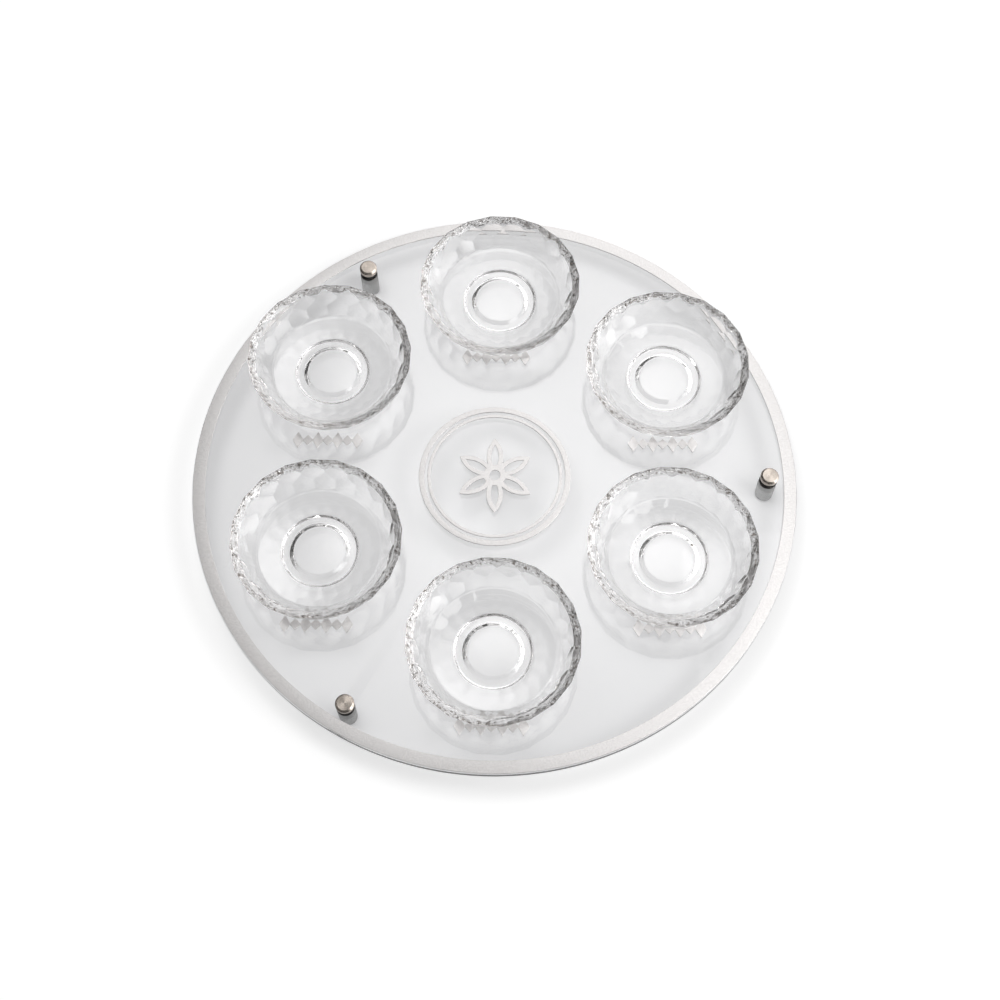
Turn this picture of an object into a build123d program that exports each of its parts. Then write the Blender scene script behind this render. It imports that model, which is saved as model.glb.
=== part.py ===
"""Round clear serving plate on three stand-off legs, with six loose faceted glass bowls.

Millimetres. +Z is up, the origin is on the table under the middle of the disc, and -Y is the front.
"""
import os
from math import cos, radians, sin

from build123d import *

# Clear disc, 400 across: it reaches past the ring of bowls by its margin
disc_margin = 70.5
disc_thickness = 5.0
disc_arris = 0.4

# Legs: each is a barrel under the disc and a cap above it, drawn together by a stud
leg_angles = {"right": 0.0, "back_left": 120.0, "front_left": 240.0}
leg_band_gap = 3.6
barrel_diameter = 12.0
barrel_length = 20.0
cap_diameter = 12.0
cap_height = 4.0
cap_bevel = 1.2
gasket_diameter = 11.6
gasket_thickness = 1.2
washer_diameter = 11.6
washer_thickness = 1.0
stud_diameter = 6.0
stud_depth_in_cap = 2.4
stud_depth_in_barrel = 12.0
sleeve_wall = 0.9
pad_diameter = 9.0
pad_thickness = 2.0
pad_proud = 1.0
slip_fit = 0.1

# Silver trim on the disc's top face
trim_thickness = 0.8
band_edge_gap = 0.6
band_width = 8.0
medallion_radius = 50.3
medallion_ring_width = 3.6
medallion_ring_gap = 2.0
medallion_line_width = 2.1
petal_count = 6
petal_length = 27.0
petal_width = 11.0
petal_stroke = 3.0
rosette_hub_radius = 7.5
rosette_hub_hole_radius = 3.6
label_lozenges = 7
lozenge_width = 7.4
lozenge_height = 12.0
lozenge_small_height = 7.6
lozenge_overlap = 0.8

# Bowls: six, with flat facets outside in rows that are given by how far out and up each one goes
facet_count = 20
bowl_turn = 7.0
foot_radius = 25.0
foot_height = 3.4
foot_taper = 1.1
foot_shoulder = 0.6
foot_ring_width = 4.3
foot_recess = 2.8
foot_recess_taper = 2.0
inner_under_row_reach = 8.9
inner_under_row_rise = 1.3
outer_under_row_reach = 8.7
outer_under_row_rise = 2.8
lower_row_reach = 6.0
lower_row_rise = 7.5
middle_row_reach = 3.3
middle_row_rise = 6.5
upper_row_reach = 1.5
upper_row_rise = 6.0
bowl_rim_width = 4.6
bowl_lip_width = 1.2
bowl_lip_drop = 2.4
floor_thickness = 5.6
floor_flat_radius = 20.0
floor_dish = 0.4
floor_corner_wall = 3.2
floor_fillet = 2.0

# Places of the bowls on their ring, each with the small shift it was set down with, and of the labels
bowl_places = {
    "back": (90.0, (2.0, -4.5)),
    "back_right": (30.0, (2.0, 0.5)),
    "front_right": (-30.0, (1.0, -1.0)),
    "front": (-90.0, (0.5, 0.0)),
    "front_left": (-150.0, (0.0, 1.5)),
    "back_left": (150.0, (1.0, 3.0)),
}
bowl_gap = 21.5
bowl_ring_shift = 6.7
label_distance = 47.2

# Sizes that follow from these
half_step = 180.0 / facet_count
bowl_rows = (
    (inner_under_row_reach, inner_under_row_rise),
    (outer_under_row_reach, outer_under_row_rise),
    (lower_row_reach, lower_row_rise),
    (middle_row_reach, middle_row_rise),
    (upper_row_reach, upper_row_rise),
)
bowl_height = foot_height + sum(rise for reach, rise in bowl_rows)
bowl_rim_radius = foot_radius + foot_shoulder + sum(reach for reach, rise in bowl_rows)
floor_radius = bowl_rim_radius - upper_row_reach - middle_row_reach - lower_row_reach - floor_corner_wall
bowl_ring_radius = 2 * bowl_rim_radius + bowl_gap
disc_radius = bowl_ring_radius + disc_margin
band_radius = disc_radius - band_edge_gap
leg_ring_radius = band_radius - band_width - leg_band_gap - cap_diameter / 2
stud_bore = stud_diameter + slip_fit
hole_diameter = stud_bore + 2 * sleeve_wall + slip_fit
barrel_base = pad_proud
washer_base = barrel_base + barrel_length
disc_base = washer_base + washer_thickness
disc_top = disc_base + disc_thickness
cap_base = disc_top + gasket_thickness


def polar(radius, angle, height=0.0):
    """A point at a radius and an angle in degrees about the Z axis."""
    return Vector(radius * cos(radians(angle)), radius * sin(radians(angle)), height)


def upright(diameter, height, base=0.0):
    """A cylinder that stands on the height base."""
    return Pos(0, 0, base) * Cylinder(diameter / 2, height, align=(Align.CENTER, Align.CENTER, Align.MIN))


def washer(diameter, bore, height, base):
    """A flat ring that stands on the height base."""
    return upright(diameter, height, base) - upright(bore, height, base)


def top_trim(outline):
    """Trim of the given flat outline, lying on the disc's top face."""
    return Pos(0, 0, disc_top) * extrude(outline, trim_thickness)


def flat_ring(outer_radius, width):
    """A flat ring's outline."""
    return Circle(outer_radius) - Circle(outer_radius - width)


def clear_disc():
    """The round plate, with its edges taken off and a hole for each leg's stud."""
    disc = upright(2 * disc_radius, disc_thickness, disc_base)
    disc = chamfer(disc.edges().filter_by(GeomType.CIRCLE), disc_arris)
    for angle in leg_angles.values():
        disc -= Pos(polar(leg_ring_radius, angle)) * upright(hole_diameter, disc_thickness, disc_base)
    return disc


def barrel():
    """A leg's barrel: tapped from above for the stud, and recessed below for its pad."""
    body = upright(barrel_diameter, barrel_length, barrel_base)
    body -= upright(stud_bore, stud_depth_in_barrel, washer_base - stud_depth_in_barrel)
    return body - upright(pad_diameter + slip_fit, pad_thickness - pad_proud, barrel_base)


def cap():
    """A leg's cap: a short plug with a bevelled top edge, tapped from below."""
    body = upright(cap_diameter, cap_height, cap_base)
    body = chamfer(body.edges().group_by(Axis.Z)[-1], cap_bevel)
    return body - upright(stud_bore, stud_depth_in_cap, cap_base)


def stud():
    """The rod that draws the cap down on the barrel, through the disc."""
    base = washer_base - stud_depth_in_barrel
    return upright(stud_diameter, cap_base + stud_depth_in_cap - base, base)


def leg_pieces():
    """Each piece of a leg by name, standing on the Z axis."""
    return {
        "leg_cap": cap(),
        "cap_gasket": washer(gasket_diameter, stud_bore, gasket_thickness, disc_top),
        "hole_sleeve": washer(hole_diameter - slip_fit, stud_bore, disc_thickness, disc_base),
        "leg_washer": washer(washer_diameter, stud_bore, washer_thickness, washer_base),
        "leg_barrel": barrel(),
        "leg_stud": stud(),
        "foot_pad": upright(pad_diameter, pad_thickness),
    }


def almond(length, width, inset=0.0):
    """An almond between two arcs, its near tip on the origin, drawn in all round by the inset."""
    sagitta = width / 2
    arc_radius = (length**2 / 4 + sagitta**2) / (2 * sagitta)
    reach = arc_radius - sagitta
    arc = Circle(arc_radius - inset)
    return (Pos(length / 2, reach) * arc) & (Pos(length / 2, -reach) * arc)


def rosette():
    """A ring of open petals about a small open hub."""
    petal = almond(petal_length, petal_width) - almond(petal_length, petal_width, petal_stroke)
    outline = Circle(rosette_hub_radius)
    for index in range(petal_count):
        outline += Rot(0, 0, 90 + index * 360 / petal_count) * petal
    return outline - Circle(rosette_hub_hole_radius)


def lozenge(width, height):
    """A diamond standing on its point."""
    return Polygon((-width / 2, 0), (0, -height / 2), (width / 2, 0), (0, height / 2))


def lozenge_chain():
    """A row of lozenges, tall and short by turns, joined at their tips."""
    pitch = lozenge_width - lozenge_overlap
    first = -pitch * (label_lozenges - 1) / 2
    chain = Sketch()
    for index in range(label_lozenges):
        height = lozenge_small_height if index % 2 else lozenge_height
        chain += Pos(first + index * pitch) * lozenge(lozenge_width, height)
    return chain


def polygon_face(points):
    """A flat face through points in order."""
    return Face(Wire.make_polygon(points, close=True))


def facet_frustum(low, high, turn):
    """A flat-sided frustum, foot to rim, whose sides' middle lines pass two (radius, height) points."""
    slope = (high[0] - low[0]) / (high[1] - low[1])
    rings = []
    for height in (foot_height, bowl_height):
        corner_radius = (low[0] + slope * (height - low[1])) / cos(radians(half_step))
        angles = [turn + 2 * half_step * index for index in range(facet_count)]
        rings.append([polar(corner_radius, angle, height) for angle in angles])
    base, rim = rings
    faces = [polygon_face(base), polygon_face(rim)]
    for index in range(facet_count):
        faces.append(polygon_face([base[index - 1], base[index], rim[index], rim[index - 1]]))
    return Solid(Shell(faces))


def faceted_form():
    """The bowl's outside above its foot: rows of facets, each turned half a step from the next."""
    radius = foot_radius + foot_shoulder
    height = foot_height
    form = None
    for level, (reach, rise) in enumerate(bowl_rows):
        low = (radius, height)
        radius += reach
        height += rise
        frustum = facet_frustum(low, (radius, height), level * half_step)
        form = form & frustum if form else frustum
    return form


def bowl_inside():
    """The smooth hollow of a bowl: a flat middle, a gently dished floor, a sloping wall and a leaning lip."""
    floor = foot_recess + floor_thickness
    floor_corner = (floor_radius, 0, floor + floor_dish)
    lip_radius = bowl_rim_radius - bowl_lip_width
    outline = Polyline(
        (0, 0, floor),
        (floor_flat_radius, 0, floor),
        floor_corner,
        (bowl_rim_radius - bowl_rim_width, 0, bowl_height - bowl_lip_drop),
        (lip_radius, 0, bowl_height),
        (lip_radius, 0, bowl_height + bowl_lip_drop),
        (0, 0, bowl_height + bowl_lip_drop),
        close=True,
    )
    section = Face(Wire(outline.edges()))
    rounded = section.fillet_2d(floor_fillet, section.vertices().sort_by_distance(floor_corner)[:1])
    return revolve(rounded, Axis.Z)


def bowl():
    """A bowl on the Z axis: cut in facets outside, smooth inside, on a turned foot ring."""
    standing = (Align.CENTER, Align.CENTER, Align.MIN)
    foot_base_radius = foot_radius - foot_taper
    recess_radius = foot_base_radius - foot_ring_width
    foot = Cone(foot_base_radius, foot_radius, foot_height, align=standing)
    recess = Cone(recess_radius, recess_radius - foot_recess_taper, foot_recess, align=standing)
    return faceted_form() + foot - recess - bowl_inside()


def build():
    """Every piece of the plate and its bowls, by name."""
    pieces = {"clear_disc": clear_disc()}
    pieces["rim_band"] = top_trim(flat_ring(band_radius, band_width))
    pieces["medallion_ring"] = top_trim(flat_ring(medallion_radius, medallion_ring_width))
    line_radius = medallion_radius - medallion_ring_width - medallion_ring_gap
    pieces["medallion_line"] = top_trim(flat_ring(line_radius, medallion_line_width))
    pieces["medallion_rosette"] = top_trim(rosette())
    for name, piece in leg_pieces().items():
        for place, angle in leg_angles.items():
            pieces[f"{name}_{place}"] = Pos(polar(leg_ring_radius, angle)) * piece
    one_bowl = Rot(0, 0, bowl_turn) * bowl()
    one_label = top_trim(lozenge_chain())
    for place, (angle, nudge) in bowl_places.items():
        even_place = Vector(0, bowl_ring_shift) + polar(bowl_ring_radius, angle)
        pieces[f"label_{place}"] = Pos(even_place - Vector(0, label_distance)) * one_label
        pieces[f"bowl_{place}"] = Pos(even_place + Vector(*nudge, disc_top)) * one_bowl
    return pieces


os.makedirs("parts", exist_ok=True)
for node, shape in build().items():
    export_step(shape, f"parts/{node}.step")
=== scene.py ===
from math import cos, pi, radians, sin

import bmesh
import bpy
import numpy as np
from mathutils import Matrix, Vector


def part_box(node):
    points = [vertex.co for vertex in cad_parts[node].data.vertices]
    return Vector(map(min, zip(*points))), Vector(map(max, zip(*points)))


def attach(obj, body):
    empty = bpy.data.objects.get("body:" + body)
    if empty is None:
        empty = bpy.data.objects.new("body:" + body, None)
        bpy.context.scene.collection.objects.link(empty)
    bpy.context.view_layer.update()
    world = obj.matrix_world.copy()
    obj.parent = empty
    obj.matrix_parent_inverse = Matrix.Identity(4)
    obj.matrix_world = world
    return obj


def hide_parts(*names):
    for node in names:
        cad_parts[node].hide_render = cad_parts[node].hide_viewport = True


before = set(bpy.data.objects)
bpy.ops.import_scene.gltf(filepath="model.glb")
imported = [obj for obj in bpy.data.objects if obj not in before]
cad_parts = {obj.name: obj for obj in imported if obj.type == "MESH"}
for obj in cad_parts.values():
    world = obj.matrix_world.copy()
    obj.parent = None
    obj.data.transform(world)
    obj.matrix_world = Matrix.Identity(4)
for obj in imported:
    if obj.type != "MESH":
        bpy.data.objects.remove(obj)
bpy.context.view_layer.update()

# Lengths are worked out in millimetres and go into the meshes in metres.
MM = 0.001
MERGE_DISTANCE = 1e-7

# Turned pieces: an arc has a point at least every ARC_STEP, and a turn over CREASE_ANGLE stays a crease.
ARC_STEP = radians(5)
CREASE_ANGLE = radians(30)
WIDE_COLUMNS = 480
LEG_COLUMNS = 96
DRILL_COLUMNS = 64

# A hair of air keeps the disc's two faces from lying in the faces of the pieces that rest on it.
DISC_AIR = 0.03
DISC_ARRIS = 0.5
HOLE_AIR = 0.05
DRILL_OVERRUN = 3

FACETS = 20
COLUMNS_PER_HALF_FACET = 5
BOWL_TURN = radians(7)
# Creases between the rows of facets, as (distance of the flats from the axis, height over the foot).
BOWL_CREASES = [(25.6, 3.4), (34.5, 4.7), (43.2, 7.5), (49.2, 15.0), (52.5, 21.5), (54.0, 27.5)]
BOWL_HEIGHT = 27.5
# The two lowest rows are a little hollow: their ridges stand this many times as far out as on flats.
ROW_HOLLOW = [4, 2, 1, 1, 1]
CREASE_ROUND = 0.8
# Straight runs of the outside that are longer than FLAT_RUN, and start higher than this crease less a
# margin, are pressed flat.
FLAT_RUN = 1.5
FIRST_FLAT_CREASE = 2
FLAT_MARGIN = 1
MOUTH_RADIUS = 49.4
LIP_RADIUS = 52.8
LIP_DROP = 2.4
RIM_ROUND = 0.3
FLOOR_RADIUS = 40.0
FLOOR_HEIGHT = 10.0
FLOOR_FILLET = 2.0
FLAT_RADIUS = 20.0
FLAT_HEIGHT = 8.4
FLAT_ROUND = 8
FOOT_RADIUS = 25.0
FOOT_FOOTPRINT = 23.9
FOOT_ROUND = 0.6
FOOT_COVE = 1.6
RECESS_RADIUS = 19.6
RECESS_FLAT = 16.6
RECESS_HEIGHT = 2.8
RECESS_FILLET = 1.2
RECESS_ROUND = 0.4

# The bowls' glass at rest: heights where the lip's ripples start and are full, and a little below and above
# the floor's edge; sizes and reliefs of the waves in its flats and of the ripples.
RIPPLE_START = 52.0
RIPPLE_FULL = 53.2
BELOW_WALL = 35
IN_WALL = 38
WAVE_SIZE = 14
WAVE_RELIEF = 0.4
RIPPLE_SIZE = 2.2
RIPPLE_RELIEF = 0.9

# Inner radii of the round trims. Their outer radii come from the imported nodes.
TRIM_INNER = {"rim_band": 191.4, "medallion_ring": 46.7, "medallion_line": 42.6}
TRIM_ROUND = 0.15
TRIM_CREASE = radians(40)
WELD_DISTANCE = 0.001

STUD_AIR = 0.05
CAP_BEVEL = 1.2
CAP_ROUND = 0.2
CAP_FOOT_ROUND = 0.15
BARREL_FOOT_ROUND = 0.4
BARREL_TOP_ROUND = 0.3
RUBBER_ROUND = 0.3
PAD_FOOT_ROUND = 0.4
PAD_TOP_ROUND = 0.1

BOWLS = ["back", "back_right", "front_right", "front", "front_left", "back_left"]
LEGS = ["right", "back_left", "front_left"]

# Camera, fitted to the ellipses of the disc and the bowls' rims in a frame of 1000 by 1000.
CAMERA_TARGET = (3.67, -17.69, 27.0)
CAMERA_DISTANCE = 952.9
CAMERA_RISE = radians(66.62)
CAMERA_ROLL = radians(0.65)
CAMERA_LENS = 52.1
FILM_WIDTH = 36

# The floor, in metres: half its side, and where its lift for the camera starts and ends.
FLOOR_HALF = 4
FLOOR_GREY = (0.8, 0.8, 0.8, 1)
LIFT_START = 0.35
LIFT_END = 1.6
LIFT_NEAR = 0.42
LIFT_FAR = 0.8
LIFT_MIRRORED = 0.12
LIFT_THROUGH_GLASS = 0.19

# The room's strength: where no part of the studio is mirrored, on matt surfaces, and behind everything.
# Ways that rise less than LOWEST_RISE are taken to rise so much, which keeps their slopes finite.
ROOM_DARK = 0.02
ROOM_MATT = 0.42
ROOM_WHITE = 1.25
LOWEST_RISE = 0.05


def srgb(hex_colour):
    """Linear colour of an sRGB hex value."""
    parts = [int(hex_colour[i:i + 2], 16) / 255 for i in (1, 3, 5)]
    return [c / 12.92 if c <= 0.04045 else ((c + 0.055) / 1.055) ** 2.4 for c in parts] + [1.0]


def add_node(tree, kind, inputs=None, **settings):
    """Adds a node, sets its properties, and gives its inputs a value or a link from another node's output."""
    node = tree.nodes.new(kind)
    for name, value in settings.items():
        setattr(node, name, value)
    for name, value in (inputs or {}).items():
        if isinstance(value, bpy.types.NodeSocket):
            tree.links.new(value, node.inputs[name])
        else:
            node.inputs[name].default_value = value
    return node


def new_material(name, **surface):
    """Material with one Principled surface; the keywords are its sockets, with _ for a space."""
    material = bpy.data.materials.new(name)
    material.use_nodes = True
    tree = material.node_tree
    shader = tree.nodes["Principled BSDF"]
    for socket, value in surface.items():
        shader.inputs[socket.replace("_", " ")].default_value = value
    return material, tree, shader


def let_light_through(tree, shader, facing):
    """Light of lamps and room passes straight through the glass: the share facing, less where it grazes."""
    graze = add_node(tree, "ShaderNodeLayerWeight", {"Blend": 0.1}).outputs["Facing"]
    share = add_node(tree, "ShaderNodeMapRange", {"Value": graze, "To Min": facing, "To Max": 0.5}).outputs[0]
    clear = add_node(tree, "ShaderNodeBsdfTransparent", {"Color": share}).outputs[0]
    rays = add_node(tree, "ShaderNodeLightPath").outputs
    surface = shader.outputs[0]
    for kind in ["Is Diffuse Ray", "Is Shadow Ray"]:
        surface = add_node(tree, "ShaderNodeMixShader", {0: rays[kind], 1: surface, 2: clear}).outputs[0]
    tree.links.new(surface, tree.nodes["Material Output"].inputs["Surface"])


def tool_marks(tree, spacing):
    """Noise drawn out round a turned piece, in rings about the given spacing in millimetres."""
    turning = add_node(tree, "ShaderNodeUVMap", uv_map="turning").outputs["UV"]
    stretched = add_node(tree, "ShaderNodeMapping", {"Vector": turning, "Scale": (1 / spacing, 3.0, 1.0)})
    return add_node(tree, "ShaderNodeTexNoise", {"Vector": stretched.outputs["Vector"], "Scale": 1.0,
                                                 "Detail": 2.0}).outputs["Fac"]


def grain(tree, size, detail):
    """Noise with grains of the given size in millimetres."""
    place = add_node(tree, "ShaderNodeTexCoord").outputs["Object"]
    return add_node(tree, "ShaderNodeTexNoise", {"Vector": place, "Scale": 1 / (size * MM), "Detail": detail,
                                                 "Roughness": 0.6}).outputs["Fac"]


def spread(tree, shader, pattern, dark, light, smooth, rough, relief):
    """Lets a pattern vary the colour and the roughness of a surface, with a relief in millimetres."""
    tone = add_node(tree, "ShaderNodeMix", {"Factor": pattern, "A": srgb(dark), "B": srgb(light)},
                    data_type="RGBA").outputs[2]
    gloss = add_node(tree, "ShaderNodeMapRange", {"Value": pattern, "To Min": smooth,
                                                  "To Max": rough}).outputs[0]
    bump = add_node(tree, "ShaderNodeBump", {"Height": pattern, "Strength": 0.4, "Distance": relief * MM})
    for socket, source in [("Base Color", tone), ("Roughness", gloss), ("Normal", bump.outputs["Normal"])]:
        tree.links.new(source, shader.inputs[socket])


def studio_part(tree, strength, *edges):
    """One part of the studio: its strength, faded in or out over each edge (value, from, to)."""
    level = strength
    for value, start, end in edges:
        edge = add_node(tree, "ShaderNodeMapRange", {"Value": value, "From Min": start, "From Max": end},
                        interpolation_type="SMOOTHSTEP").outputs["Result"]
        level = add_node(tree, "ShaderNodeMath", {0: edge, 1: level}, operation="MULTIPLY").outputs[0]
    return level


def node_span(node):
    """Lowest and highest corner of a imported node, in millimetres."""
    low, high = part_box(node)
    return np.array(low) / MM, np.array(high) / MM


def circle_angles(count):
    """Angles of a full turn in equal steps."""
    return np.linspace(0, 2 * pi, count, endpoint=False)


def rounded_profile(corners, radii):
    """Outline through the corners with an arc in place of each corner that has a radius.

    An arc of radius q starts q tan(turn / 2) before its corner and turns, by the angle between the two
    sides, about a point that lies q to the side of the turn. Corners are an array of (corner, column,
    radius and height), so each column of a faceted piece may have an outline of its own.
    """
    corners = np.asarray(corners, float)
    if corners.ndim == 2:
        corners = corners[:, None, :]
    rows = [corners[:1]]
    for place, radius in enumerate(radii):
        before, corner, after = corners[place:place + 3]
        if not radius:
            rows.append(corner[None])
            continue
        arrive, leave = corner - before, after - corner
        arrive = arrive / np.linalg.norm(arrive, axis=-1, keepdims=True)
        leave = leave / np.linalg.norm(leave, axis=-1, keepdims=True)
        bend = arrive[:, :1] * leave[:, 1:] - arrive[:, 1:] * leave[:, :1]
        turn = np.arctan2(abs(bend), np.sum(arrive * leave, axis=-1, keepdims=True))
        side = np.sign(bend) * np.stack([-arrive[:, 1], arrive[:, 0]], axis=-1)
        centre = corner - arrive * radius * np.tan(turn / 2) + side * radius
        steps = max(2, int(np.ceil(turn.max() / ARC_STEP)))
        angle = turn * np.linspace(0, 1, steps + 1)[:, None, None]
        rows.append(centre + radius * (arrive * np.sin(angle) - side * np.cos(angle)))
    rows.append(corners[-1:])
    return np.concatenate(rows)


def hoop_outline(inner, outer, low, high, round_edge):
    """Section of a flat ring with its edges broken, from the middle of its underside round to it again."""
    middle = (inner + outer) / 2
    corners = [(middle, low), (outer, low), (outer, high), (inner, high), (inner, low), (middle, low)]
    return rounded_profile(corners, [round_edge] * 4)[:-1]


def bowl_profile(angles):
    """Outline of a bowl in each column: facets outside, turned inside.

    A facet of row j stands a(z) = a0 + s z from the axis, and a column that is p away from its middle line
    meets it at the radius a(z) / (cos p to the power of the row's hollow). Rows are set half a facet round
    from each other, and where two rows give the same radius lies their crease.
    """
    step = 2 * pi / FACETS
    off_middle = [(angles - step / 2) % step, (angles - step) % step]
    off_middle = [np.minimum(p, step - p) for p in off_middle]
    lean, start = [], []
    for (low_reach, low), (high_reach, high) in zip(BOWL_CREASES[:-1], BOWL_CREASES[1:]):
        lean.append((high_reach - low_reach) / (high - low))
        start.append(low_reach - lean[-1] * low)
    count = len(lean)
    share = [np.cos(off_middle[level % 2]) ** ROW_HOLLOW[level] for level in range(count)]

    def at(level, height):
        return (start[level] + lean[level] * height) / share[level], height + 0 * angles

    def level_ring(radius, height):
        return radius + 0 * angles, height + 0 * angles

    creases = []
    for low in range(count - 1):
        high = low + 1
        height = ((start[high] * share[low] - start[low] * share[high])
                  / (lean[low] * share[high] - lean[high] * share[low]))
        creases.append(at(low, height))
    corners = [level_ring(0, RECESS_HEIGHT), level_ring(RECESS_FLAT, RECESS_HEIGHT),
               level_ring(RECESS_RADIUS, 0), level_ring(FOOT_FOOTPRINT, 0),
               at(0, (FOOT_RADIUS * share[0] - start[0]) / lean[0]), *creases,
               at(count - 1, BOWL_HEIGHT), level_ring(LIP_RADIUS, BOWL_HEIGHT),
               level_ring(MOUTH_RADIUS, BOWL_HEIGHT - LIP_DROP),
               level_ring(FLOOR_RADIUS, FLOOR_HEIGHT), level_ring(FLAT_RADIUS, FLAT_HEIGHT),
               level_ring(0, FLAT_HEIGHT)]
    radii = [RECESS_FILLET, RECESS_ROUND, FOOT_ROUND, FOOT_COVE, *[CREASE_ROUND] * len(creases),
             RIM_ROUND, RIM_ROUND, RIM_ROUND, FLOOR_FILLET, FLAT_ROUND]
    return rounded_profile(np.stack([np.stack(c, -1) for c in corners]), radii)


def turned_points(profile, angles, centre):
    """Profile point (r, z) at angle t lies at the centre + (r cos t, r sin t, z)."""
    radius, height = profile[..., 0], profile[..., 1]
    x, y, z = np.broadcast_arrays(centre[0] + radius * np.cos(angles),
                                  centre[1] + radius * np.sin(angles), centre[2] + height)
    return np.stack([x, y, z], axis=-1)


def ring_mesh(name, points, hoop=False, flat_rows=()):
    """Mesh of rings of points, each joined to the next; a hoop's last ring joins its first.

    The map's u is the distance in millimetres along the outline and its v the share of a full turn. All is
    shaded round, with a crease at each turn over CREASE_ANGLE and round every face of flat_rows.
    """
    rows, columns = points.shape[:2]
    ring = np.arange(rows * columns).reshape(rows, columns)
    lower, upper = (ring, np.roll(ring, -1, 0)) if hoop else (ring[:-1], ring[1:])
    faces = np.stack([lower, np.roll(lower, -1, 1), np.roll(upper, -1, 1), upper], -1).reshape(-1, 4)
    mesh = bpy.data.meshes.new(name)
    mesh.from_pydata((points.reshape(-1, 3) * MM).tolist(), [], faces.tolist())
    steps = np.linalg.norm(np.diff(points[:, 0], axis=0, append=points[:1, 0]), axis=-1)
    along = np.concatenate([[0.0], np.cumsum(steps)])
    low, left = np.meshgrid(np.arange(len(lower)), np.arange(columns), indexing="ij")
    u = np.stack([along[low], along[low], along[low + 1], along[low + 1]], -1)
    v = np.stack([left, left + 1, left + 1, left], -1) / columns
    mesh.uv_layers.new(name="turning").data.foreach_set("uv", np.stack([u, v], -1).ravel())
    flat = np.zeros((len(lower), columns), bool)
    flat[list(flat_rows)] = True
    mesh.attributes.new("flat", "BOOLEAN", "FACE").data.foreach_set("value", flat.ravel())
    merge = bmesh.new()
    merge.from_mesh(mesh)
    bmesh.ops.remove_doubles(merge, verts=merge.verts, dist=MERGE_DISTANCE)
    merge.to_mesh(mesh)
    merge.free()
    mesh.shade_smooth()
    mesh.set_sharp_from_angle(angle=CREASE_ANGLE)
    flat = np.zeros(len(mesh.polygons), bool)
    corners = np.zeros(len(mesh.polygons), int)
    edges = np.zeros(len(mesh.loops), int)
    mesh.attributes["flat"].data.foreach_get("value", flat)
    mesh.polygons.foreach_get("loop_total", corners)
    mesh.loops.foreach_get("edge_index", edges)
    sharp = np.zeros(len(mesh.edges), bool)
    mesh.edges.foreach_get("use_edge_sharp", sharp)
    sharp[edges[np.repeat(flat, corners)]] = True
    mesh.edges.foreach_set("use_edge_sharp", sharp)
    mesh.attributes.remove(mesh.attributes["flat"])
    return mesh


def add_piece(name, mesh, material, body, node):
    """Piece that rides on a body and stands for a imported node."""
    piece = bpy.data.objects.new(name, mesh)
    bpy.context.scene.collection.objects.link(piece)
    mesh.materials.append(material)
    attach(piece, body)
    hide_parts(node)


def add_leg_piece(name, node, outline, axis, material, hoop=False):
    """Piece turned about a leg's axis, which rides on the plate."""
    mesh = ring_mesh(name, turned_points(outline, circle_angles(LEG_COLUMNS), axis), hoop=hoop)
    add_piece(name, mesh, material, "plate", node)


def dress_node(node, material):
    """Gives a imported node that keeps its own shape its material."""
    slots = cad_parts[node].data.materials
    slots.clear()
    slots.append(material)


# Float glass, cut to a disc with its edge polished: clear and flat, so it shows the table through it and
# a thin mirror image of what stands on it.
float_glass, tree, shader = new_material("float_glass_polished_edge", Base_Color=srgb("#FDFDFE"),
                                         Roughness=0.0, IOR=1.52, Transmission_Weight=1.0)
let_light_through(tree, shader, 0.95)

# Soda-lime glass, pressed in a faceted mould and fire-polished: clear, with flats that are a little wavy.
# The upper lip is left rippled by the mould, and patches of its ripples are darkened with painted shade,
# standing in for the dark room that the lip bends into view. Long ways through the glass are darker, and the
# wall lets a little less of the lamps' light through than the floor.
pressed_glass, tree, shader = new_material("soda_lime_glass_pressed", Roughness=0.0, IOR=1.52,
                                           Transmission_Weight=1.0)
place = add_node(tree, "ShaderNodeTexCoord").outputs["Object"]
height = add_node(tree, "ShaderNodeSeparateXYZ", {0: place}).outputs["Z"]
lip = add_node(tree, "ShaderNodeMapRange", {"Value": height, "From Min": RIPPLE_START * MM,
                                            "From Max": RIPPLE_FULL * MM},
               interpolation_type="SMOOTHSTEP").outputs["Result"]
wave = add_node(tree, "ShaderNodeTexNoise", {"Vector": place, "Scale": 1 / (WAVE_SIZE * MM), "Detail": 1.0})
ripple = add_node(tree, "ShaderNodeTexNoise", {"Vector": place, "Scale": 1 / (RIPPLE_SIZE * MM),
                                               "Detail": 2.0})
bump = add_node(tree, "ShaderNodeBump", {"Height": wave.outputs["Fac"], "Strength": 0.15,
                                         "Distance": WAVE_RELIEF * MM})
bump = add_node(tree, "ShaderNodeBump", {"Height": ripple.outputs["Fac"], "Strength": lip,
                                         "Distance": RIPPLE_RELIEF * MM, "Normal": bump.outputs["Normal"]})
tree.links.new(bump.outputs["Normal"], shader.inputs["Normal"])
# Painted shade: dark patches in the lip's ripples stand in for the dark room that the lip shows by
# refraction.
lip_shade_patch = add_node(tree, "ShaderNodeMapRange", {"Value": ripple.outputs["Fac"], "From Min": 0.54,
                                              "From Max": 0.62, "To Max": lip})
lip_shade_tint = add_node(tree, "ShaderNodeMix", {"Factor": lip_shade_patch.outputs["Result"], "A": srgb("#FDFDFD"),
                                        "B": srgb("#6A625C")}, data_type="RGBA")
tree.links.new(lip_shade_tint.outputs[2], shader.inputs["Base Color"])
wall_share = add_node(tree, "ShaderNodeMapRange", {"Value": height, "From Min": BELOW_WALL * MM,
                                                   "From Max": IN_WALL * MM, "To Min": 1.0,
                                                   "To Max": 0.97}).outputs["Result"]
let_light_through(tree, shader, wall_share)
depth = add_node(tree, "ShaderNodeVolumeAbsorption", {"Color": (0.77, 0.755, 0.75, 1.0), "Density": 14.0})
tree.links.new(depth.outputs[0], tree.nodes["Material Output"].inputs["Volume"])

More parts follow.
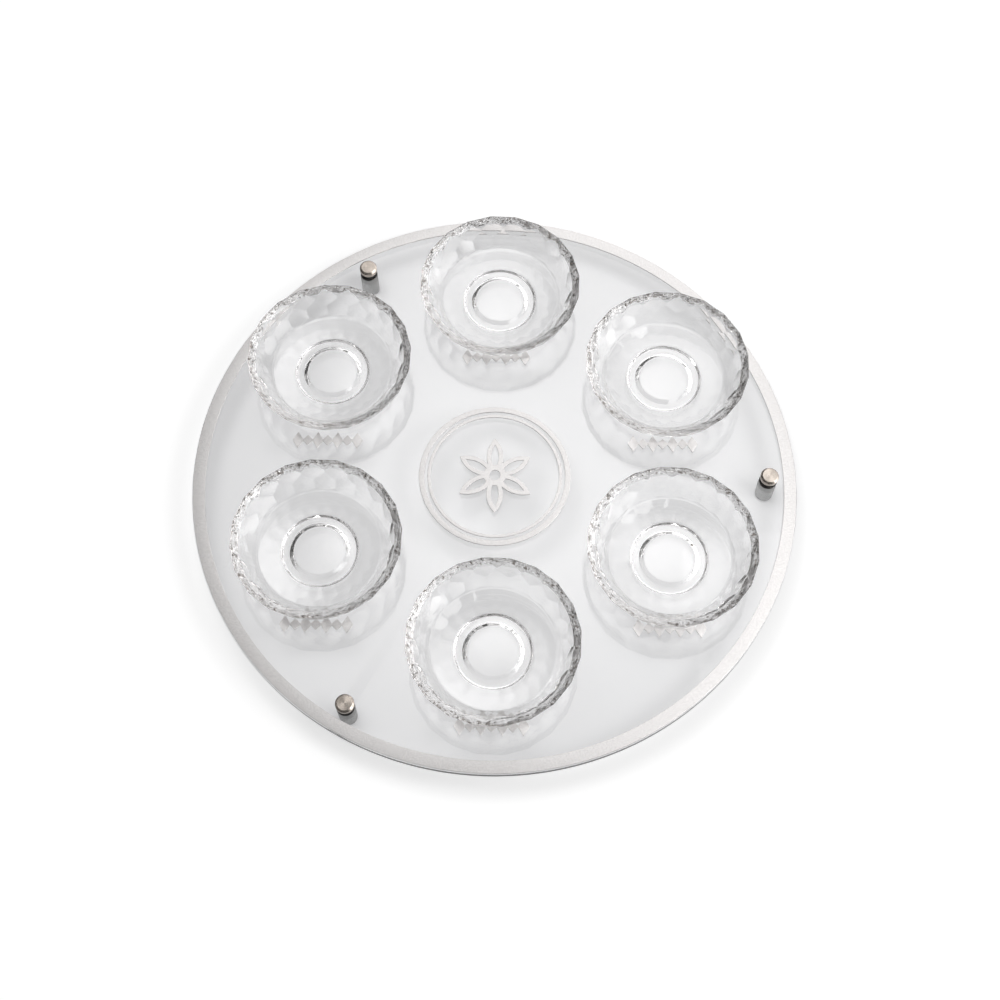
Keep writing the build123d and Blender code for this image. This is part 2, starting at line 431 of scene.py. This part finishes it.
# Aluminium, blasted matt: a grainy silver that takes the tone of what is over it. The grain is drawn coarser
# than the real one, so that it shows at a step away.
blasted_silver, tree, shader = new_material("aluminium_blasted", Metallic=1.0)
spread(tree, shader, grain(tree, 0.7, 3.0), "#B4B1B0", "#F8F6F5", 0.32, 0.46, 0.1)

# Stainless steel, faced on a lathe: fine rings that draw light out into wedges.
spun_steel, tree, shader = new_material("stainless_steel_spun", Metallic=1.0, Anisotropic=0.9)
spread(tree, shader, tool_marks(tree, 0.25), "#A39A92", "#CEC4BA", 0.2, 0.3, 0.005)
tangent = add_node(tree, "ShaderNodeTangent", direction_type="UV_MAP", uv_map="turning")
tree.links.new(tangent.outputs["Tangent"], shader.inputs["Tangent"])

# Stainless steel tube, brushed round: an even satin grey.
satin_steel, tree, shader = new_material("stainless_steel_satin", Metallic=1.0, Anisotropic=0.5)
spread(tree, shader, tool_marks(tree, 0.3), "#8A8A89", "#A2A2A1", 0.34, 0.46, 0.005)

# Moulded rubber: near black and dull.
black_rubber, tree, shader = new_material("rubber_moulded")
spread(tree, shader, grain(tree, 0.5, 2.0), "#101010", "#1E1E1E", 0.5, 0.7, 0.03)

# Turned nylon: off-white and waxy.
nylon, tree, shader = new_material("nylon_turned")
spread(tree, shader, grain(tree, 0.8, 2.0), "#DCDCD7", "#EBEBE8", 0.38, 0.5, 0.02)

half_facet = 180 / FACETS
in_half = np.linspace(0, half_facet, COLUMNS_PER_HALF_FACET + 1)[:-1]
columns = np.radians((np.arange(2 * FACETS)[:, None] * half_facet + in_half).ravel())
outline = bowl_profile(columns)
# Between the arcs the outside runs straight from crease to crease, and the steeper of those rows are flats.
run = np.linalg.norm(np.diff(outline[:, 0], axis=0), axis=-1)
heights = outline[:, 0, 1]
in_flat_rows = heights[:-1] > BOWL_CREASES[FIRST_FLAT_CREASE][1] - FLAT_MARGIN
outside = np.arange(len(run)) < heights.argmax()
flat_rows = np.flatnonzero((run > FLAT_RUN) & in_flat_rows & outside)
for bowl in BOWLS:
    node = "bowl_" + bowl
    low, high = node_span(node)
    centre = [(low[0] + high[0]) / 2, (low[1] + high[1]) / 2, low[2]]
    mesh = ring_mesh("pressed_" + node, turned_points(outline, columns + BOWL_TURN, centre),
                     flat_rows=flat_rows)
    add_piece("pressed_" + node, mesh, pressed_glass, node, node)

# The disc is turned whole and then drilled for the three legs.
low, high = node_span("clear_disc")
disc_radius = (high[0] - low[0]) / 2
outline = rounded_profile([(0, low[2] + DISC_AIR), (disc_radius, low[2] + DISC_AIR),
                           (disc_radius, high[2] - DISC_AIR), (0, high[2] - DISC_AIR)],
                          [DISC_ARRIS, DISC_ARRIS])
blank = ring_mesh("disc_blank", turned_points(outline, circle_angles(WIDE_COLUMNS), (0, 0, 0)))
drilled = bpy.data.objects.new("disc_blank", blank)
bpy.context.scene.collection.objects.link(drilled)
drills = []
for leg in LEGS:
    low, high = node_span("hole_sleeve_" + leg)
    reach = (high[0] - low[0]) / 2 + HOLE_AIR
    start, end = low[2] - DRILL_OVERRUN, high[2] + DRILL_OVERRUN
    outline = np.array([(0, start), (reach, start), (reach, end), (0, end)])
    axis = ((low[0] + high[0]) / 2, (low[1] + high[1]) / 2, 0)
    drill_mesh = ring_mesh("drill", turned_points(outline[:, None], circle_angles(DRILL_COLUMNS), axis))
    drill = bpy.data.objects.new("drill", drill_mesh)
    bpy.context.scene.collection.objects.link(drill)
    cut = drilled.modifiers.new("hole_" + leg, "BOOLEAN")
    cut.operation = "DIFFERENCE"
    cut.solver = "EXACT"
    cut.object = drill
    drills.append(drill)
bpy.context.view_layer.update()
mesh = bpy.data.meshes.new_from_object(drilled.evaluated_get(bpy.context.evaluated_depsgraph_get()))
mesh.name = "drilled_disc"
mesh.set_sharp_from_angle(angle=CREASE_ANGLE)
for spare in [drilled, *drills]:
    bpy.data.objects.remove(spare)
add_piece("drilled_disc", mesh, float_glass, "plate", "clear_disc")

# The three round trims are flat hoops.
for name, inner in TRIM_INNER.items():
    low, high = node_span(name)
    outline = hoop_outline(inner, (high[0] - low[0]) / 2, low[2], high[2], TRIM_ROUND)
    points = turned_points(outline, circle_angles(WIDE_COLUMNS), (0, 0, 0))
    add_piece("blasted_" + name, ring_mesh("blasted_" + name, points, hoop=True), blasted_silver, "plate",
              name)

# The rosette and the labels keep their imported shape, with their edges broken.
for name in ["medallion_rosette", *["label_" + bowl for bowl in BOWLS]]:
    dress_node(name, blasted_silver)
    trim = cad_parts[name]
    trim.modifiers.new("join_triangles", "WELD").merge_threshold = WELD_DISTANCE * MM
    edge = trim.modifiers.new("broken_edge", "BEVEL")
    edge.width = TRIM_ROUND * MM
    edge.segments = 2
    edge.limit_method = "ANGLE"
    edge.angle_limit = TRIM_CREASE

# Each leg, from the cap down. What is turned has its edges broken as the lathe leaves them.
for leg in LEGS:
    low, high = node_span("leg_cap_" + leg)
    axis = ((low[0] + high[0]) / 2, (low[1] + high[1]) / 2, 0)
    reach = (high[0] - low[0]) / 2
    stud_low, stud_high = node_span("leg_stud_" + leg)
    stud = (stud_high[0] - stud_low[0]) / 2 + STUD_AIR
    corners = [(0, stud_high[2]), (stud, stud_high[2]), (stud, low[2]), (reach, low[2]),
               (reach, high[2] - CAP_BEVEL), (reach - CAP_BEVEL, high[2]), (0, high[2])]
    outline = rounded_profile(corners, [0, 0, CAP_FOOT_ROUND, CAP_ROUND, CAP_ROUND])
    add_leg_piece("spun_cap_" + leg, "leg_cap_" + leg, outline, axis, spun_steel)

    low, high = node_span("leg_barrel_" + leg)
    pad_low, pad_high = node_span("foot_pad_" + leg)
    pad = (pad_high[0] - pad_low[0]) / 2
    socket = pad + STUD_AIR
    corners = [(0, pad_high[2]), (socket, pad_high[2]), (socket, low[2]), (reach, low[2]),
               (reach, high[2]), (stud, high[2]), (stud, stud_low[2]), (0, stud_low[2])]
    outline = rounded_profile(corners, [0, 0, BARREL_FOOT_ROUND, BARREL_TOP_ROUND, 0, 0])
    add_leg_piece("satin_barrel_" + leg, "leg_barrel_" + leg, outline, axis, satin_steel)

    for rubber in ["cap_gasket_", "leg_washer_"]:
        node = rubber + leg
        low, high = node_span(node)
        outline = hoop_outline(stud, (high[0] - low[0]) / 2, low[2], high[2], RUBBER_ROUND)
        add_leg_piece("rubber_" + node, node, outline, axis, black_rubber, hoop=True)
    outline = rounded_profile([(0, pad_low[2]), (pad, pad_low[2]), (pad, pad_high[2]), (0, pad_high[2])],
                              [PAD_FOOT_ROUND, PAD_TOP_ROUND])
    node = "foot_pad_" + leg
    add_leg_piece("rubber_" + node, node, outline, axis, black_rubber)
    dress_node("leg_stud_" + leg, satin_steel)
    dress_node("hole_sleeve_" + leg, nylon)

back = Vector((0, -cos(CAMERA_RISE), sin(CAMERA_RISE)))
level = Vector((1, 0, 0))
upright = back.cross(level)
right = level * cos(CAMERA_ROLL) + upright * sin(CAMERA_ROLL)
up = upright * cos(CAMERA_ROLL) - level * sin(CAMERA_ROLL)
camera_data = bpy.data.cameras.new("camera")
camera_data.sensor_width = FILM_WIDTH
camera_data.lens = CAMERA_LENS
camera_data.clip_start = 0.01
camera_data.clip_end = 50
camera = bpy.data.objects.new("camera", camera_data)
eye = Vector(CAMERA_TARGET) * MM + back * CAMERA_DISTANCE * MM
camera.matrix_world = Matrix.Translation(eye) @ Matrix((right, up, back)).transposed().to_4x4()
bpy.context.scene.collection.objects.link(camera)
bpy.context.scene.camera = camera

# Floor: matt white, lifted a little where it is seen, mirrored or looked at through glass, so that it stays
# white and keeps its shadows. For the camera the lift grows with the distance from the middle.
floor_paper = bpy.data.materials.new("paper_white_matt")
floor_paper.use_nodes = True
tree = floor_paper.node_tree
tree.nodes.clear()
matt = add_node(tree, "ShaderNodeBsdfDiffuse", {"Color": FLOOR_GREY})
rays = add_node(tree, "ShaderNodeLightPath").outputs
place = add_node(tree, "ShaderNodeTexCoord").outputs["Object"]
away = add_node(tree, "ShaderNodeVectorMath", {0: place}, operation="LENGTH").outputs["Value"]
near_to_far = {"Value": away, "From Min": LIFT_START, "From Max": LIFT_END, "To Min": LIFT_NEAR,
               "To Max": LIFT_FAR}
camera_lift = add_node(tree, "ShaderNodeMapRange", near_to_far).outputs["Result"]
lift = 0.0
for kind, share in [("Is Camera Ray", camera_lift), ("Is Glossy Ray", LIFT_MIRRORED),
                    ("Is Transmission Ray", LIFT_THROUGH_GLASS)]:
    seen = add_node(tree, "ShaderNodeMath", {0: rays[kind], 1: share}, operation="MULTIPLY").outputs[0]
    lift = add_node(tree, "ShaderNodeMath", {0: seen, 1: lift}, operation="MAXIMUM").outputs[0]
glow = add_node(tree, "ShaderNodeEmission", {"Strength": lift})
both = add_node(tree, "ShaderNodeAddShader", {0: matt.outputs[0], 1: glow.outputs[0]})
add_node(tree, "ShaderNodeOutputMaterial", {"Surface": both.outputs[0]})
floor_mesh = bpy.data.meshes.new("floor")
floor_corners = [(x * FLOOR_HALF, y * FLOOR_HALF, 0) for x, y in [(-1, -1), (1, -1), (1, 1), (-1, 1)]]
floor_mesh.from_pydata(floor_corners, [], [(0, 1, 2, 3)])
floor_mesh.materials.append(floor_paper)
floor = bpy.data.objects.new("floor", floor_mesh)
bpy.context.scene.collection.objects.link(floor)

# Studio: a broad soft panel over the back right, which most of the disc mirrors, with a brighter patch, a
# white sweep at the back, a pale wall at the right, a pale ceiling, and a soft box low at the right. The
# room is dark to the left and in front. All this is only for what mirrors it or is looked through: matt
# surfaces get an even light, and the camera sees white. A way's slopes x / z and y / z say where it meets
# the ceiling.
world = bpy.data.worlds.new("studio")
bpy.context.scene.world = world
world.use_nodes = True
tree = world.node_tree
tree.nodes.clear()
way = add_node(tree, "ShaderNodeSeparateXYZ", {0: add_node(tree, "ShaderNodeTexCoord").outputs["Generated"]})
way_x, way_y, way_z = [way.outputs[axis] for axis in "XYZ"]
over = add_node(tree, "ShaderNodeMath", {0: way_z, 1: LOWEST_RISE}, operation="MAXIMUM").outputs[0]
slope_x, slope_y = [add_node(tree, "ShaderNodeMath", {0: part, 1: over}, operation="DIVIDE").outputs[0]
                    for part in (way_x, way_y)]

panel = studio_part(tree, 1.8, (slope_x, -0.22, -0.02), (slope_y, 0.20, 0.40), (slope_x, 0.36, 0.22),
                    (slope_y, 1.6, 1.0), (way_z, 0.2, 0.3))
patch = studio_part(tree, 1.3, (slope_x, -0.22, -0.02), (slope_y, 0.20, 0.40), (slope_x, 0.35, 0.02),
                    (slope_y, 0.75, 0.42))
sweep = studio_part(tree, 2.0, (way_y, 0.15, 0.55), (way_z, 0.65, 0.45), (way_x, -0.2, 0.2))
wall = studio_part(tree, 0.7, (way_x, 0.3, 0.8))
ceiling = studio_part(tree, 0.5, (way_z, 0.4, 0.6))
soft_box = studio_part(tree, 5.5, (way_x, 0.45, 0.6), (way_y, -0.65, -0.5), (way_y, 0.4, 0.25),
                       (way_z, 0.08, 0.16), (way_z, 0.60, 0.48))
total = ROOM_DARK
for part in [panel, patch, sweep, wall, ceiling, soft_box]:
    total = add_node(tree, "ShaderNodeMath", {0: part, 1: total}, operation="ADD").outputs[0]
rays = add_node(tree, "ShaderNodeLightPath").outputs
by_glass = add_node(tree, "ShaderNodeMath", {0: rays["Is Glossy Ray"], 1: rays["Is Transmission Ray"]},
                    operation="MAXIMUM").outputs[0]
strength = add_node(tree, "ShaderNodeMix", {"Factor": by_glass, "A": ROOM_MATT, "B": total},
                    data_type="FLOAT").outputs[0]
strength = add_node(tree, "ShaderNodeMix", {"Factor": rays["Is Camera Ray"], "A": strength, "B": ROOM_WHITE},
                    data_type="FLOAT").outputs[0]
sky = add_node(tree, "ShaderNodeBackground", {"Strength": strength})
add_node(tree, "ShaderNodeOutputWorld", {"Surface": sky.outputs[0]})

# Lamps, as (name, place, width, depth, turned to the plate, shown in mirrors and glass, radiance): a white
# card at the right that shows in the disc, a small soft box high in front at the right, and a lamp high at
# the back left, unseen in mirrors, that throws the plate's shadow to the lower right.
for name, lamp_place, width, depth, aimed, shown, radiance in [
        ("card", (0.65, 0.03, 1.02), 0.70, 0.66, False, True, 0.9),
        ("key", (0.70, -0.34, 1.12), 0.60, 0.40, True, True, 4.0),
        ("table_lamp", (-0.22, 0.13, 1.28), 0.70, 0.70, True, False, 3.6)]:
    lamp_data = bpy.data.lights.new(name, "AREA")
    lamp_data.shape = "RECTANGLE"
    lamp_data.size = width
    lamp_data.size_y = depth
    lamp_data.energy = radiance * pi * width * depth
    lamp = bpy.data.objects.new(name, lamp_data)
    turn = Vector(lamp_place).to_track_quat("Z", "Y").to_matrix() if aimed else Matrix.Identity(3)
    lamp.matrix_world = Matrix.Translation(lamp_place) @ turn.to_4x4()
    lamp.visible_glossy = shown
    lamp.visible_transmission = shown
    bpy.context.scene.collection.objects.link(lamp)

scene = bpy.context.scene
scene.view_settings.view_transform = "Standard"
scene.cycles.max_bounces = 32
scene.cycles.transmission_bounces = 28
scene.cycles.glossy_bounces = 12
scene.cycles.transparent_max_bounces = 32
scene.cycles.caustics_reflective = False
scene.cycles.caustics_refractive = False
